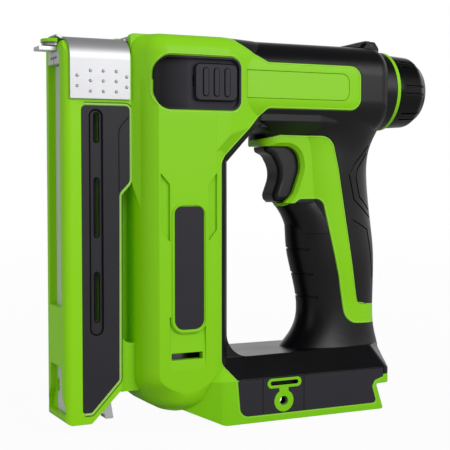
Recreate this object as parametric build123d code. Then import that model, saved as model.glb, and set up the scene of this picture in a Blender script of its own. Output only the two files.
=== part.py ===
from build123d import *
import os
from math import acos, cos, pi, radians, sin, sqrt, tan

# Cordless stapler, in millimetres. +Z is up and -X is the way the staples leave.
# The two halves of the casing meet in the plane Y = 0, and the foot stands on Z = 0.

# Barrel and dial
BARREL_Z = 190.0
BARREL_HALF_WIDTH = 25.0
BARREL_HALF_HEIGHT = 25.5
BARREL_CORNER = 18.0
BARREL_BACK_X = 95.0
BARREL_BORE = 20.0
BORE_FRONT_X = -70.0
BORE_BACK_X = 90.0
NECK_RADIUS = 23.8
DIAL_END_X = 121.0

# Motor column
MOTOR_X = -46.0
COLUMN_HALF_WIDTH = 30.0
COLUMN_BOTTOM = 8.7
COLUMN_WALL = 4.6
MOTOR_RADIUS = 18.2
GEARCASE_RADIUS = 21.0

# Casing
CASING_FRONT_X = -73.5
SKIN = 1.6
HANDLE_WALL = 4.4
FOOT_HALF_WIDTH = 33.0
FOOT_SIDE_TOP = 24.2
FOOT_TOP = 36.0
SADDLE_ROUND = 14.0
SEAM = 0.3
BAY_HALF_WIDTH = 26.5
BAY_MOUTH_HALF_WIDTH = 21.0
BAY_LEDGE = 6.0
BAY_ROOF = 20.0
BAY_FRONT_X = -6.0
PLATE = 1.2

# Magazine and nose
MAGAZINE_FRONT_X = -111.5
MAGAZINE_BACK_X = -79.6
MAGAZINE_HALF_WIDTH = 17.0
NOSE_TOP = 211.0
RAIL_FRONT_X = -108.0
RAIL_BACK_X = -92.5
RAIL_HALF_WIDTH = 8.3
RAIL_TOP = 198.0
BLADE_Z = 201.6
BLADE_HALF_WIDTH = 5.4
BLADE_THICKNESS = 1.2
TIP_X = -121.0
COVER_SHEET = 1.3
COVER_BEND = 12.0
COVER_BACK_X = -74.7
COVER_HINGE = (-69.5, 213.0)
KNUCKLE = 2.2
KNUCKLE_HALF_WIDTH = 11.0

# Drive train
LIFT_MODULE = 1.5
LIFT_TEETH = 12
GEAR_MODULE = 0.85
SUN_TEETH = 12
PLANET_TEETH = 12
RING_TEETH = 36
PLANET_ORBIT = GEAR_MODULE * (SUN_TEETH + PLANET_TEETH) / 2
SHAFT_RADIUS = 4.0
RUNNING = 0.06
BACKLASH = 0.12
PRESSURE = radians(20)

# Screws that close the casing, as (X, Z)
SCREWS = [
    (-62, 128), (-30, 128), (-60, 22), (-32, 22), (-76, 36), (57, 112), (65, 80), (72, 54), (84, 30)]
SCREW_SEAT = 9.0
SCREW_RADIUS = 1.5
SCREW_HEAD = 2.8
BOSS_RADIUS = 3.6
HOOK = (12.1, 10.9)
LEVER_PIVOT = (86.0, 217.2)
LATCH_PIVOT = (-85.5, 27.0)


# Shapes that many pieces use

def outline(corners):
    """Flat face with corners given as (u, v, rounding)."""
    edges = []
    ends = []
    for index, (u, v, radius) in enumerate(corners):
        here = Vector(u, v)
        before = (Vector(*corners[index - 1][:2]) - here).normalized()
        after = (Vector(*corners[(index + 1) % len(corners)][:2]) - here).normalized()
        half = radians(before.get_angle(after)) / 2
        reach = radius / tan(half)
        start, stop = here + before * reach, here + after * reach
        ends.append((start, stop))
        if radius:
            inward = (before + after).normalized()
            middle = here + inward * (radius / sin(half) - radius)
            edges.append(ThreePointArc(start, middle, stop))
    for index, (start, stop) in enumerate(ends):
        following = ends[(index + 1) % len(ends)][0]
        if (following - stop).length > 1e-4:
            edges.append(Line(stop, following))
    face = make_face(edges).face()
    return face if face.normal_at().Z > 0 else -face


def slab_x(face, low, high):
    """A face drawn in (Y, Z), thickened from X = low to high."""
    return extrude(Plane.YZ.offset(low) * face, amount=high - low)


def slab_y(face, low, high):
    """A face drawn in (X, Z), thickened from Y = low to high."""
    return extrude(Plane.XZ.offset(-low) * face, amount=high - low, dir=(0, 1, 0))


def slab_z(face, low, high):
    """A face drawn in (X, Y), thickened from Z = low to high."""
    return extrude(Plane.XY.offset(low) * face, amount=high - low)


def brick(x, y, z):
    """Block from its lowest to its highest X, Y and Z."""
    middle = [(low + high) / 2 for low, high in (x, y, z)]
    return Pos(*middle) * Box(*(high - low for low, high in (x, y, z)))


def rod(radius, low, high):
    return Cylinder(radius, high - low, align=(Align.CENTER, Align.CENTER, Align.MIN))


def rod_x(radius, low, high, y=0.0, z=BARREL_Z):
    return Pos(low, y, z) * Rot(0, 90, 0) * rod(radius, low, high)


def rod_y(radius, low, high, x, z):
    return Pos(x, low, z) * Rot(-90, 0, 0) * rod(radius, low, high)


def rod_z(radius, low, high, x=MOTOR_X, y=0.0):
    return Pos(x, y, low) * rod(radius, low, high)


def shrink(face, inset):
    return offset(face, amount=-inset) if inset else face


def coil(radius, wire, length, turns):
    """Spring along +Z from the origin, each quarter turn made of two tangent arcs."""
    def place(turn):
        angle = 2 * pi * turn
        return Vector(radius * cos(angle), radius * sin(angle), wire + (length - 2 * wire) * turn / turns)

    def heading(turn):
        angle = 2 * pi * turn
        rise = (length - 2 * wire) / turns / (2 * pi * radius)
        return Vector(-sin(angle), cos(angle), rise).normalized()

    arcs = []
    for quarter in range(4 * turns):
        first, last = place(quarter / 4), place(quarter / 4 + 0.25)
        leave, arrive = heading(quarter / 4), heading(quarter / 4 + 0.25)
        chord, both = last - first, leave + arrive
        slack = both.dot(both) - 4
        linear = chord.dot(both)
        reach = (linear - sqrt(linear ** 2 - slack * chord.dot(chord))) / slack
        joint = (first + leave * reach + last - arrive * reach) / 2
        across = (last - arrive * reach) - (first + leave * reach)
        arcs += [TangentArc(first, joint, tangent=leave), TangentArc(joint, last, tangent=across)]
    path = Wire(arcs)
    section = Plane(path @ 0, z_dir=path % 0) * Circle(wire)
    return sweep(section, path=path)


def gear_face(teeth, module, addendum, dedendum, backlash, kept=None):
    """Involute gear centred on the origin with one tooth on +X; kept lists the teeth that are there."""
    pitch = teeth * module / 2
    base = pitch * cos(PRESSURE)
    root, tip = pitch - dedendum, pitch + addendum
    half_tooth = (pi * module / 2 - backlash) / 2 / pitch
    lowest = max(root, base)
    radii = [lowest + (tip - lowest) * step / 4 for step in range(5)]

    def half_angle(radius):
        lean = acos(min(1.0, base / radius))
        return half_tooth + tan(PRESSURE) - PRESSURE - tan(lean) + lean

    flank = [(radius, half_angle(radius)) for radius in radii]
    if root < base:
        flank.insert(0, (root, half_angle(base)))
    points = []
    for tooth in range(teeth):
        middle = 2 * pi * tooth / teeth
        if kept is None or tooth in kept:
            points += [(radius, middle - spread) for radius, spread in flank]
            points += [(radius, middle + spread) for radius, spread in reversed(flank)]
        else:
            points += [(root, middle - flank[0][1]), (root, middle + flank[0][1])]
    return make_face(Polyline(*[(r * cos(a), r * sin(a)) for r, a in points], close=True))


# Outer forms of the casing, each able to shrink inwards by an inset

COLUMN_FRONT_X = -72.0
COLUMN_BACK_X = -15.6
COLUMN_FACE = (-63.0, -29.0)
COLUMN_SHOULDER = 11.0
COLUMN_END_ALONG = 22.0
COLUMN_END_ACROSS = 12.0
COLUMN_END_RINGS = 8
BLOCK_PLAN = [
    (CASING_FRONT_X, -17, 0), (-65, -28, 12), (-58, -29.9, 8), (-20, -29.9, 8), (12, -17.5, 8),
    (12, 17.5, 8), (-20, 29.9, 8), (-58, 29.9, 8), (-65, 28, 12), (CASING_FRONT_X, 17, 0)]
BLOCK_LOW = 117.0
BLOCK_SIDE = [
    (CASING_FRONT_X, 134.5, 4), (-69.5, BLOCK_LOW, 0), (-37.7, 126, 0), (0.3, 166, 6), (12, 166, 0),
    (12, 215.5, 0), (CASING_FRONT_X, 215.5, 0)]
BLOCK_FACET = [(2, -20.0), (-13.5, -31.4), (2, -31.4)]
BLOCK_TOP_ROUND = 11.0
BLOCK_HALF_WIDTH = 29.9
HINGE_SEAT = [(CASING_FRONT_X, 200, 0), (-56, 200, 0), (-56, 215.4, 0), (CASING_FRONT_X, 215.4, 2)]
HINGE_SEAT_HALF_WIDTH = 15.5
GUARD_FRONT_X = 8.6
GUARD_SIDE = [
    (GUARD_FRONT_X, 158.8, 1.2), (11, 155.5, 1.2), (20, 155.5, 0), (20, 122.3, 0), (62, 122.3, 0),
    (62, 178, 0), (GUARD_FRONT_X, 178, 0)]
HOOD_Z = (162.4, 169.6)
HOOD_LOW = [
    (GUARD_FRONT_X, -14, 8), (42, -14.4, 12), (66, -14, 0), (66, 14, 0), (42, 14.4, 12), (GUARD_FRONT_X, 14, 8)]
HOOD_HIGH = [(-3, -22.6, 8), (42, -22.6, 12), (66, -19, 0), (66, 19, 0), (42, 22.6, 12), (-3, 22.6, 8)]
TONGUE_RINGS = [(104, 33.4, 16.6), (112, 31.0, 16.2), (118, 27.2, 15.4), (122.3, 23.3, 14.5)]
TONGUE_BACK_X = 75.0
GUARD_HALF_WIDTH = 14.0
HANDLE_STEP = 12.0
HANDLE_LOW = 31.0
HANDLE_RINGS = [
    (26, 95, 20.5), (35.0, 92.6, 17.8), (40.2, 91.2, 16.9), (39.6, 91.4, 16.7), (36.8, 91.7, 17.1),
    (33.8, 91.6, 17.4), (32.4, 90.4, 17.3), (31.6, 88.7, 17.2), (30.8, 87.2, 17.2), (30.0, 86.3, 17.3),
    (28.6, 87.3, 17.3), (25.2, 92.4, 18.4), (21.5, 94.2, 23.2)]
FOOT_PLAN = [
    (83, -33, 5), (95.5, -11, 20), (95.5, 11, 20), (83, 33, 5), (-26, 33, 7), (-60, 14, 10),
    (-60, -14, 10), (-26, -33, 7)]
FOOT_CROWN = [
    (79, -19.6, 4), (91.5, -9, 14), (91.5, 9, 14), (79, 19.6, 4), (-24, 23, 7), (-50, 9, 7),
    (-50, -9, 7), (-24, -23, 7)]
FOOT_SIDE = [
    (79.6, 0, 1), (74.5, 15.4, 1), (98, 15.4, 0), (98, 60, 0), (-60, 60, 0), (-60, 15, 0), (-25, 0, 10)]
SADDLE_X = -4.8
SADDLE_HALF_WIDTH = 22.0
BRIDGE_HALF_WIDTH = 15.5
WRAP_X = 79.5
WRAP_Z = 20.6
WEB_HALF_WIDTH = 6.0


def barrel(inset=0.0):
    width, height = BARREL_HALF_WIDTH - inset, BARREL_HALF_HEIGHT - inset
    section = Pos(0, BARREL_Z) * RectangleRounded(2 * width, 2 * height, BARREL_CORNER - inset)
    body = slab_x(section, -66, BARREL_BACK_X - 4 - inset)
    body = fillet(body.faces().sort_by(Axis.X)[-1].edges(), 8 - inset)
    neck = rod_x(NECK_RADIUS - inset, 60, BARREL_BACK_X)
    return body + neck


def block(inset=0.0):
    plan = slab_z(shrink(outline(BLOCK_PLAN), inset), BLOCK_LOW, 215.5 - inset)
    top_edges = plan.faces().sort_by(Axis.Z)[-1].edges()
    plan = fillet(top_edges.filter_by(lambda edge: edge.length > 3), BLOCK_TOP_ROUND - inset)
    plan += slab_y(outline(HINGE_SEAT), -HINGE_SEAT_HALF_WIDTH, HINGE_SEAT_HALF_WIDTH)
    body = plan & slab_y(shrink(outline(BLOCK_SIDE), inset), -40, 40)
    slope = Plane(origin=(0.3, 0, 166), x_dir=(40, 0, -38), z_dir=(38, 0, 40))
    for side in (-1, 1):
        corners = [(u - 0.6 * inset, side * (v + 0.8 * inset)) for u, v in BLOCK_FACET]
        facet = make_face(Polyline(*corners, close=True))
        body -= extrude(slope * facet, amount=80, both=True)
    return body


def column_plan(height):
    """The motor column cut level at a height: two flat sides joined by round corners."""
    def recede(radius):
        drop = max(0.0, COLUMN_BOTTOM + radius - height)
        return radius - sqrt(radius ** 2 - drop ** 2)

    along, width = recede(COLUMN_END_ALONG), COLUMN_HALF_WIDTH - recede(COLUMN_END_ACROSS)
    ends = (COLUMN_FRONT_X + along, COLUMN_BACK_X - along)
    fade = (height - COLUMN_BOTTOM - COLUMN_END_ACROSS) / (COLUMN_END_ALONG - COLUMN_END_ACROSS)
    flat = sqrt(1 - (1 - min(1.0, max(0.01, fade))) ** 2)
    face = [MOTOR_X + flat * (x - MOTOR_X) for x in COLUMN_FACE]
    shoulder = COLUMN_SHOULDER * width / COLUMN_HALF_WIDTH
    edges = [Line((x, -shoulder), (x, shoulder)) for x in ends]
    for side in (-1, 1):
        edges.append(Line((face[0], side * width), (face[1], side * width)))
        for near, far in zip(face, ends):
            middle = (near + 0.73 * (far - near), side * (shoulder + 0.605 * (width - shoulder)))
            edges.append(ThreePointArc((near, side * width), middle, (far, side * shoulder)))
    return make_face(edges)


def column(inset=0.0):
    """Motor column: rounded in plan, with a boat shaped lower end."""
    curve = COLUMN_BOTTOM + COLUMN_END_ALONG
    heights = [curve + 6, curve + 3]
    for step in range(COLUMN_END_RINGS):
        heights.append(curve - COLUMN_END_ALONG * sin(step * pi / 2 / COLUMN_END_RINGS))
    rings = []
    for height in heights:
        if height > COLUMN_BOTTOM + inset:
            rings.append(Plane.XY.offset(height) * shrink(column_plan(height), inset))
    return slab_z(shrink(column_plan(curve), inset), heights[0], BARREL_Z) + loft(rings)


def bridge():
    """Web that fills the gap to the magazine, with a wider rib low down."""
    web = [
        (MAGAZINE_BACK_X, 21, 0), (-60, 21, 0), (-60, 138, 0), (CASING_FRONT_X, 138, 0),
        (CASING_FRONT_X, 134.5, 5), (MAGAZINE_BACK_X, 128, 5)]
    low = [(MAGAZINE_BACK_X, 21, 0), (-60, 21, 0), (-60, 52, 0), (-76, 46, 6), (MAGAZINE_BACK_X, 52, 0)]
    body = slab_y(outline(web), -WEB_HALF_WIDTH, WEB_HALF_WIDTH)
    return body + slab_y(outline(low), -BRIDGE_HALF_WIDTH, BRIDGE_HALF_WIDTH)


def guard(inset=0.0):
    """Hood over the trigger, the cheeks beside it and the tongue under it."""
    width = GUARD_HALF_WIDTH - inset
    front = GUARD_FRONT_X + inset
    side = slab_y(shrink(outline(GUARD_SIDE), inset), -width, width)
    plan = outline([(front, -width, 12 - inset), (70, -width, 0), (70, width, 0), (front, width, 12 - inset)])
    rings = []
    for height, tip, across in TONGUE_RINGS:
        ring = Ellipse((TONGUE_BACK_X - tip) / 2 - inset, across - inset)
        rings.append(Plane.XY.offset(height) * Pos((TONGUE_BACK_X + tip) / 2, 0) * ring)
    return (side & slab_z(plan, 90, 190)) + loft(rings)


def hood(inset=0.0):
    """Overhang that leans in from the barrel's sides to the top of the guard."""
    low, high = HOOD_Z
    wide = shrink(outline(HOOD_HIGH), inset)
    narrow = shrink(outline(HOOD_LOW), inset)
    lean = loft([Plane.XY.offset(low) * narrow, Plane.XY.offset(high) * wide], ruled=True)
    return lean + slab_z(wide, high, 180)


def handle(inset=0.0):
    rings = []
    for index, (front, back, across) in enumerate(HANDLE_RINGS):
        ring = Pos((front + back) / 2, 0) * Ellipse((back - front) / 2 - inset, across - inset)
        rings.append(Plane.XY.offset(HANDLE_LOW + index * HANDLE_STEP) * ring)
    return loft(rings) & brick((0, BARREL_BACK_X - inset), (-40, 40), (0, BARREL_Z))


def foot(inset=0.0):
    """Base over the battery; above its side panels it leans in to a flat saddle under the hand."""
    base = shrink(outline(FOOT_PLAN), inset)
    crown = shrink(outline(FOOT_CROWN), inset)
    top = FOOT_TOP - inset
    lean = loft([Plane.XY.offset(FOOT_SIDE_TOP) * base, Plane.XY.offset(top) * crown], ruled=True)
    width = SADDLE_HALF_WIDTH - inset
    centre = top + SADDLE_ROUND
    sweep_up = brick((-30, SADDLE_X), (-width, width), (top - 2, centre))
    sweep_up -= rod_y(SADDLE_ROUND, -40, 40, SADDLE_X - inset, centre)
    body = slab_z(base, 0, FOOT_SIDE_TOP) + lean + sweep_up
    return body & slab_y(outline(FOOT_SIDE), -40, 40)


def foot_base():
    """The foot below its side edge, apart from where the column stands and the skin wraps its back end."""
    base = foot() & brick((-200, 200), (-60, 60), (-5, FOOT_SIDE_TOP))
    wrap = brick((WRAP_X, 200), (-60, 60), (WRAP_Z, FOOT_SIDE_TOP)) - foot(SKIN)
    return base - column() - wrap


def casing(inset=0.0):
    top = block(inset) + barrel(inset) + hood(inset) + guard(inset)
    return top + column(inset) + handle(inset) + foot(inset)


# Colour regions and inlays of the casing, seen from the side

BLACK_SIDE = [
    (-14, 240, 0), (-14, 213.5, 4), (6.5, 202.5, 4), (68, 202.5, 7), (68, 176.6, 7), (6.5, 176.6, 4),
    (-24.8, 146.1, 5), (-24.8, 35, 5), (-16.8, FOOT_SIDE_TOP, 2), (WRAP_X, FOOT_SIDE_TOP, 0),
    (WRAP_X, WRAP_Z, 0), (140, WRAP_Z, 0), (140, 240, 0)]
GREEN_BAND = [
    (4, 158.4, 0), (6, 158.6, 0), (20, 162.0, 4), (53, 161.6, 9), (57.5, 143, 0), (72, 61, 4), (110, 58.5, 0),
    (110, 47, 0), (63, 50, 10), (58.5, 78, 40), (49, 118, 0), (47.5, 124.6, 5), (33, 124.6, 4), (27, 120.3, 4),
    (15, 119.2, 0), (4, 119.2, 0)]
LABEL_PLATE = [(-54, 54.8, 5.5), (-36.5, 54.8, 5.5), (-36.5, 122, 4), (-54, 122, 4)]
LABEL_RIM = 2.2
VENT_X = (-57.0, -35.5)
VENT_Z = (33.0, 62.0)
VENT_DEPTH = 1.5
VENT_SLOT = [(-55.8, 38.3, 0.6), (-37.2, 38.3, 0.6), (-37.2, 42.1, 0.6), (-55.8, 42.1, 0.6)]
BADGE_PANEL = [(-9.5, 182, 1), (60, 182, 5), (60, 197.7, 5), (-9.5, 197.7, 1)]
BADGE_DEPTH = 0.8
BADGE_GAP = 0.3
FOOT_PANEL_LINES = (-1.4, 25.2)
FOOT_PANEL = [
    (-17.2, FOOT_SIDE_TOP, 0), (WRAP_X, FOOT_SIDE_TOP, 0), (WRAP_X, 19.2, 1), (73.5, 17.4, 2), (71.8, 14, 2),
    (74.9, 4.0, 2), (-15.4, 4.0, 5.5)]
HOOK_SLOT_Z = 21.2
HOOK_RING = 6.2
HOOK_HOLE = 2.7
HOOK_THREAD = 2.1
WELL = [(-65.4, 174.3, 10), (-13, 174.3, 6), (-13, 203.4, 6), (-65.4, 203.4, 10)]
WELL_LIP = 1.2
WELL_BACK_Y = -21.6
WELL_FRONT_Y = -28.6
FACET_DEPTH = 1.4
INSERT_RADIUS = 3.2
HINGE_PIN = 1.1
EDGE_FACETS = [
    [(-62, 109, 0), (-56.7, 103, 0), (-56.7, 134, 0), (-62, 140, 0)],
    [(-33.5, 103, 0), (-28.6, 109, 0), (-28.6, 140, 0), (-33.5, 134, 0)]]
GRIP_LINES = [
    [(18, 96), (40.8, 94.4)], [(20, 81.2), (43.6, 79.5)], [(24, 67.5), (47.1, 65.6)],
    [(82.4, 156.2), (69.2, 144.7), (65.4, 138.6), (69.2, 123.6), (84.2, 112.7)],
    [(81, 151.7), (72.6, 142.8), (70.9, 136.8), (74.0, 125.3), (83.5, 117.5)],
    [(67.8, 111.7), (80.7, 105.4), (84.4, 89.2), (86, 75.7)]]
GRIP_LINE_WIDTH = 1.0
GRIP_LINE_DEPTH = 0.7
POCKET_SIDE = [
    (-4, 155.5, 0), (32.1, 155.5, 9), (35, 143, 14), (29.4, 127.5, 10), (23.6, 122.2, 0), (-4, 122.2, 0)]
POCKET_BEVEL = 2.0
TRIGGER_HALF_WIDTH = 9.0
LEAD_RADIUS = 0.9
TRIGGER_ROOM = 0.4
TRIGGER_ROUND = 3.4
SWITCH_X = (50.0, 72.0)
SWITCH_Z = (127.0, 151.0)
SWITCH_HALF_WIDTH = 7.5
PLUNGER_Z = 139.0
BEARING_RADIUS = 9.0
BEARING_Z = (150.0, 156.0)
ADJUSTER_RADIUS = 4.0
KEY_HALF_WIDTH = 3.0
KEY_TOP = 212.2
BRACKET_X = (80.8, 91.2)
BRACKET_HALF_WIDTH = 8.4
BRACKET_Z = 213.6
LEVER_HALF_WIDTH = 5.0
LEVER_PIN = 1.25
BARREL_AXIS = Axis((0, 0, BARREL_Z), (1, 0, 0))


def half(shape):
    """The part of a shape on the left, photographed side."""
    return shape & brick((-200, 200), (-90, 0), (-50, 300))


def inlay(corners, surface_y, depth):
    """Plate let into the left side, its face at surface_y."""
    return slab_y(outline(corners), surface_y, surface_y + depth)


def hook_frame():
    """Green frame for a belt hook: an obround slot joined to a round eye."""
    slot = Pos(HOOK[0] + 0.4, HOOK_SLOT_Z) * SlotOverall(22, 5.6)
    neck = Pos(HOOK[0], (HOOK[1] + HOOK_SLOT_Z) / 2) * Rectangle(6, HOOK_SLOT_Z - HOOK[1])
    return slot + neck + Pos(*HOOK) * Circle(HOOK_RING)


def trigger_room():
    reach = TRIGGER_HALF_WIDTH + TRIGGER_ROOM
    return brick((17, 46.5), (-reach, reach), (122.2, 155.6))


def hollow():
    """Room inside the casing, with ribs and screw bosses left standing."""
    room = column(COLUMN_WALL) & brick((-100, 0), (-40, 40), (0, 172))
    for low, high in ((46, 49), (82, 85), (100, 104), BEARING_Z):
        room -= brick((-80, -10), (-40, 40), (low, high))
    grip = handle(HANDLE_WALL) & brick((0, 120), (-40, 40), (36, 176))
    for low, high in ((129, 132), (146, 149)):
        grip -= brick((46, 90), (-40, 40), (low, high))
    board_room = foot(5) & brick((-8, 78), (-24, 24), (FOOT_SIDE_TOP, 60))
    room += grip + board_room + brick((40, 72), (-9, 9), (30, 40))
    for x, z in SCREWS:
        room -= rod_y(BOSS_RADIUS, -40, 40, x, z)
    room += rod_z(MOTOR_RADIUS, 30, 95) + rod_z(GEARCASE_RADIUS, 95, 115) + rod_z(BEARING_RADIUS, 149, 157)
    room += rod_x(BARREL_BORE, BORE_FRONT_X, BORE_BACK_X)
    room += brick((-70, -19.6), (7.8, 15.4), (159, 180)) + brick((-70, -19.6), (-15.4, -7.8), (159, 180))
    room += brick(SWITCH_X, (-SWITCH_HALF_WIDTH, SWITCH_HALF_WIDTH), SWITCH_Z)
    room += trigger_room()
    room += brick((-24, -4), (-5, 5), (25, 30))
    return room


def battery_bay():
    """Slot under the foot: a pack slides in from the back on two ledges."""
    wide = brick((BAY_FRONT_X, 110), (-BAY_HALF_WIDTH, BAY_HALF_WIDTH), (BAY_LEDGE, BAY_ROOF))
    mouth = brick((BAY_FRONT_X, 110), (-BAY_MOUTH_HALF_WIDTH, BAY_MOUTH_HALF_WIDTH), (-5, BAY_LEDGE + 1))
    return wide + mouth


def vent_recess():
    """Shallow dip under the label plate that fades out downwards."""
    surface = -COLUMN_HALF_WIDTH
    low, high = VENT_Z
    ramp = [(surface, low, 0), (surface + VENT_DEPTH, high, 0), (surface - 2, high, 0), (surface - 2, low, 0)]
    rim = slab_y(offset(outline(LABEL_PLATE), amount=LABEL_RIM), -40, 0)
    return slab_x(outline(ramp), *VENT_X) - rim


def openings():
    """Cuts through the wall of the left half for what passes or sits in it."""
    pocket = outline(POCKET_SIDE)
    bevel = [
        Plane.XZ.offset(GUARD_HALF_WIDTH - POCKET_BEVEL) * pocket,
        Plane.XZ.offset(GUARD_HALF_WIDTH + 0.4) * offset(pocket, amount=POCKET_BEVEL + 0.4)]
    cuts = slab_y(pocket, -40, 40) + loft(bevel, ruled=True)
    for facet in EDGE_FACETS:
        cuts += inlay(facet, -COLUMN_HALF_WIDTH, FACET_DEPTH)
    cuts += inlay(LABEL_PLATE, -COLUMN_HALF_WIDTH, PLATE) + vent_recess()
    cuts += inlay(VENT_SLOT, -COLUMN_HALF_WIDTH, 8) + inlay(BADGE_PANEL, -BARREL_HALF_WIDTH, BADGE_DEPTH)
    cuts += rod_x(ADJUSTER_RADIUS + RUNNING, 80, 100)
    cuts += brick((36, 72), (-KEY_HALF_WIDTH, 0), (200, KEY_TOP + 0.1))
    cuts += brick((-80, -60), (-6.2, 0), (BLADE_Z - 1.6, BLADE_Z + 1.6))
    width = KNUCKLE_HALF_WIDTH + 0.4
    cuts += brick((-75, -66.6), (-width, 0), (210.5, 220)) + rod_y(HINGE_PIN, -15, 0, *COVER_HINGE)
    for x, z in SCREWS:
        cuts += rod_y(SCREW_RADIUS, -SCREW_SEAT, 0, x, z)
    return cuts


def casing_halves():
    """Left and right shells with their soft skins; the right shell takes the screw heads."""
    outer = half(casing() + bridge())
    band, region = outline(GREEN_BAND), outline(BLACK_SIDE)
    black = slab_y(region, -60, 60) - slab_y(band, -60, 60)
    rubber = slab_y(shrink(region, SEAM), -60, 60) - slab_y(offset(band, amount=SEAM), -60, 60)
    skin = (outer - casing(SKIN)) & black
    bracket_seat = brick(BRACKET_X, (-BRACKET_HALF_WIDTH, 10), (BRACKET_Z, 240))
    shell = outer - skin - half(foot_base()) - half(hollow()) - half(openings()) - bracket_seat
    lines = Part() + [slab_y(trace(Polyline(*points), GRIP_LINE_WIDTH), -40, 0) for points in GRIP_LINES]
    skin = (skin & rubber) - (lines - casing(GRIP_LINE_DEPTH))
    skin -= trigger_room() + slab_y(outline(POCKET_SIDE), -40, 40) + bracket_seat
    heads = Part() + [rod_y(SCREW_HEAD + 0.3, SCREW_SEAT, 60, x, z) for x, z in SCREWS]
    well = slab_y(outline(WELL), -40, WELL_BACK_Y)
    mouth = [
        Plane.XZ.offset(BLOCK_HALF_WIDTH - WELL_LIP) * outline(WELL),
        Plane.XZ.offset(BLOCK_HALF_WIDTH + 0.3) * offset(outline(WELL), amount=WELL_LIP + 0.3)]
    return {
        "left_housing": shell - well - loft(mouth, ruled=True),
        "right_housing": mirror(shell, about=Plane.XZ) - heads,
        "left_overmould": skin,
        "right_overmould": mirror(skin, about=Plane.XZ) - heads,
    }


def battery_foot():
    """Green base that the halves stand on, with the battery slot and the belt hook frames."""
    slot = Pos(HOOK[0] + 0.4, HOOK_SLOT_Z) * SlotOverall(18, 2.4)
    cut = slab_y(outline(FOOT_PANEL) - hook_frame(), -FOOT_HALF_WIDTH, PLATE - FOOT_HALF_WIDTH)
    cut += slab_y(slot, -FOOT_HALF_WIDTH, 3.5 - FOOT_HALF_WIDTH)
    cut += rod_y(HOOK_HOLE, -40, -BAY_HALF_WIDTH, *HOOK)
    cut += rod_y(INSERT_RADIUS, 1.5 - FOOT_HALF_WIDTH, -BAY_HALF_WIDTH, *HOOK)
    return {"battery_foot": foot_base() - battery_bay() - cut - mirror(cut, about=Plane.XZ)}


def both_sides(name, piece):
    return {f"left_{name}": piece, f"right_{name}": mirror(piece, about=Plane.XZ)}


def pair(piece):
    """A left piece and its mirror image as the two solids of one node."""
    return Compound(children=[piece, mirror(piece, about=Plane.XZ)])


def casing_trim():
    """Plain inlaid plates, belt hook inserts and casing screws."""
    foot_panel = inlay(FOOT_PANEL, -FOOT_HALF_WIDTH, PLATE) - slab_y(hook_frame(), -40, 0)
    for x in FOOT_PANEL_LINES:
        foot_panel -= brick((x - 0.2, x + 0.2), (-40, 0.4 - FOOT_HALF_WIDTH), (0, 30))
    face = shrink(outline(BADGE_PANEL), BADGE_GAP)
    badge = slab_y(face, -BARREL_HALF_WIDTH, BADGE_DEPTH - BARREL_HALF_WIDTH)
    insert = rod_y(INSERT_RADIUS, 1.5 - FOOT_HALF_WIDTH, -BAY_HALF_WIDTH, *HOOK)
    insert -= rod_y(HOOK_THREAD, -40, 0, *HOOK)
    screws = []
    for x, z in SCREWS:
        screw = rod_y(SCREW_RADIUS, -SCREW_SEAT, SCREW_SEAT, x, z)
        screw += rod_y(SCREW_HEAD, SCREW_SEAT, SCREW_SEAT + 2.2, x, z)
        socket = Pos(x, SCREW_SEAT + 2.3, z) * Rot(90, 0, 0) * extrude(RegularPolygon(1.5, 6), amount=1.3)
        screws.append(screw - socket)
    return {
        **both_sides("foot_panel", foot_panel),
        "label_plates": pair(inlay(LABEL_PLATE, -COLUMN_HALF_WIDTH, PLATE)),
        "badge_panels": pair(badge),
        "hook_inserts": pair(insert),
        "housing_screws": Compound(children=screws),
    }


def power_adjuster():
    """Dial at the back that turns a screw and so moves the seat of the power spring."""
    ring = rod_x(24.0, BARREL_BACK_X, BARREL_BACK_X + 2.2) - rod_x(15, 90, 100)
    start = BARREL_BACK_X + 2.4
    profile = [
        (start, 0, 0), (start, 22.6, 0.8), (start + 3, 22.6, 0.8), (114, 21.7, 5), (120.3, 17.4, 2.5),
        (DIAL_END_X, 13, 1), (DIAL_END_X, 0, 0)]
    knob = revolve(Plane.XZ * Pos(0, BARREL_Z) * outline(profile), axis=BARREL_AXIS)
    grips = 8
    for turn in range(grips):
        for side in (-1, 1):
            slot = brick((102, 130), (side * 2.4 - 0.6, side * 2.4 + 0.6), (19.8, 30))
            knob -= Pos(0, 0, BARREL_Z) * Rot(turn * 360 / grips, 0, 0) * slot
    screw = rod_x(ADJUSTER_RADIUS, 52, 116) + rod_x(8, 86, BORE_BACK_X - 0.1)
    knob -= rod_x(ADJUSTER_RADIUS, 90, 116)
    seat = rod_x(18.6, 50, 54) + rod_x(8.5, 54, 66)
    seat += brick((50, 58), (0.1 - KEY_HALF_WIDTH, KEY_HALF_WIDTH - 0.1), (BARREL_Z, KEY_TOP))
    seat -= rod_x(ADJUSTER_RADIUS + RUNNING, 40, 70)
    spring = Pos(-55.8, 0, BARREL_Z) * Rot(0, 90, 0) * coil(13.4, 1.5, 105.6, 12)
    return {
        "dial_collar": ring, "power_dial": knob, "adjuster_screw": screw, "spring_seat": seat,
        "power_spring": spring}


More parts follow.
